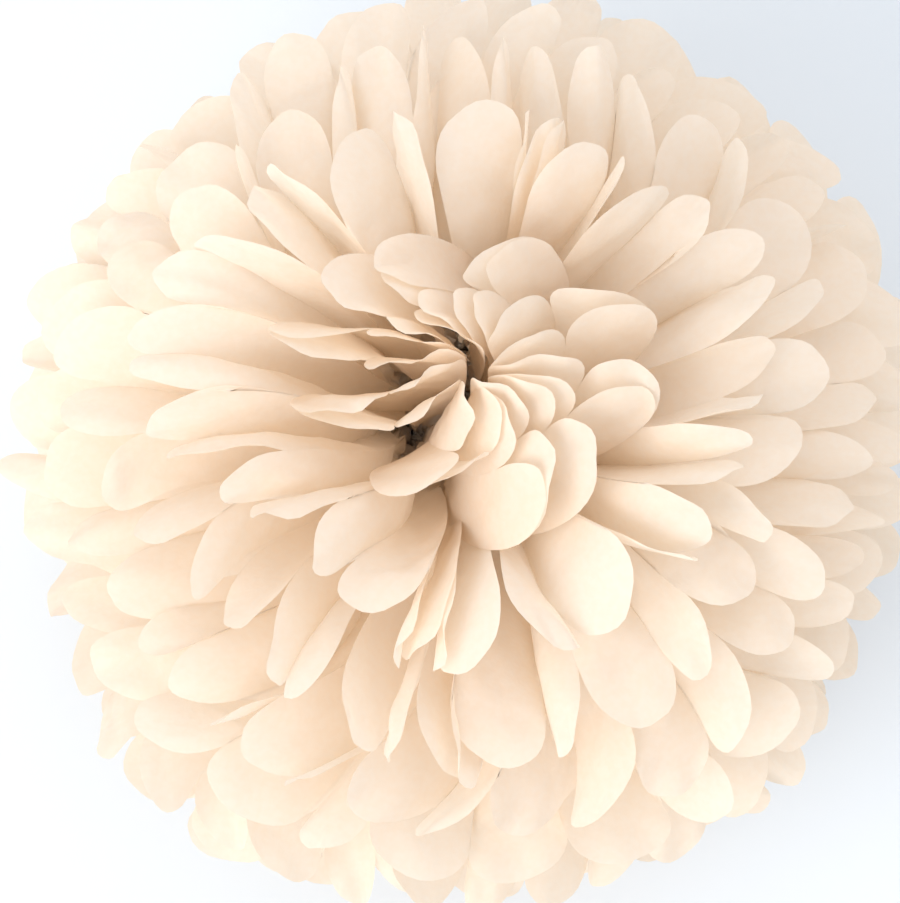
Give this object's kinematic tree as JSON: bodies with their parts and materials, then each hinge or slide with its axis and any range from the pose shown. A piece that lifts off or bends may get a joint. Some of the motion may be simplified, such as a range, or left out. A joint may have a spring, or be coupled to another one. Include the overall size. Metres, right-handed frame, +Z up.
{
  "type": "tissue paper pom pom",
  "caption": "Ball of pleated tissue sheets with rounded petal ends, opened out from a wire tie at the middle.",
  "frame": {"origin": "on the surface that the ball rests on, under the middle of the ball", "axes": "+Z up along the wire's twisted end, out of the top of the ball; +X towards the middle of one half of the sheets and -X towards the other"},
  "size_m": [0.3063, 0.3146, 0.2878],
  "materials": {
    "tissue": "matte",
    "wire": "satin"
  },
  "bodies": {
    "root": {"sheet_01": "tissue", "sheet_02": "tissue", "sheet_03": "tissue", "sheet_04": "tissue", "sheet_05": "tissue", "sheet_06": "tissue", "sheet_07": "tissue", "sheet_08": "tissue", "sheet_09": "tissue", "sheet_10": "tissue", "sheet_11": "tissue", "sheet_12": "tissue", "wire_tie": "wire"}
  },
  "joints": []
}
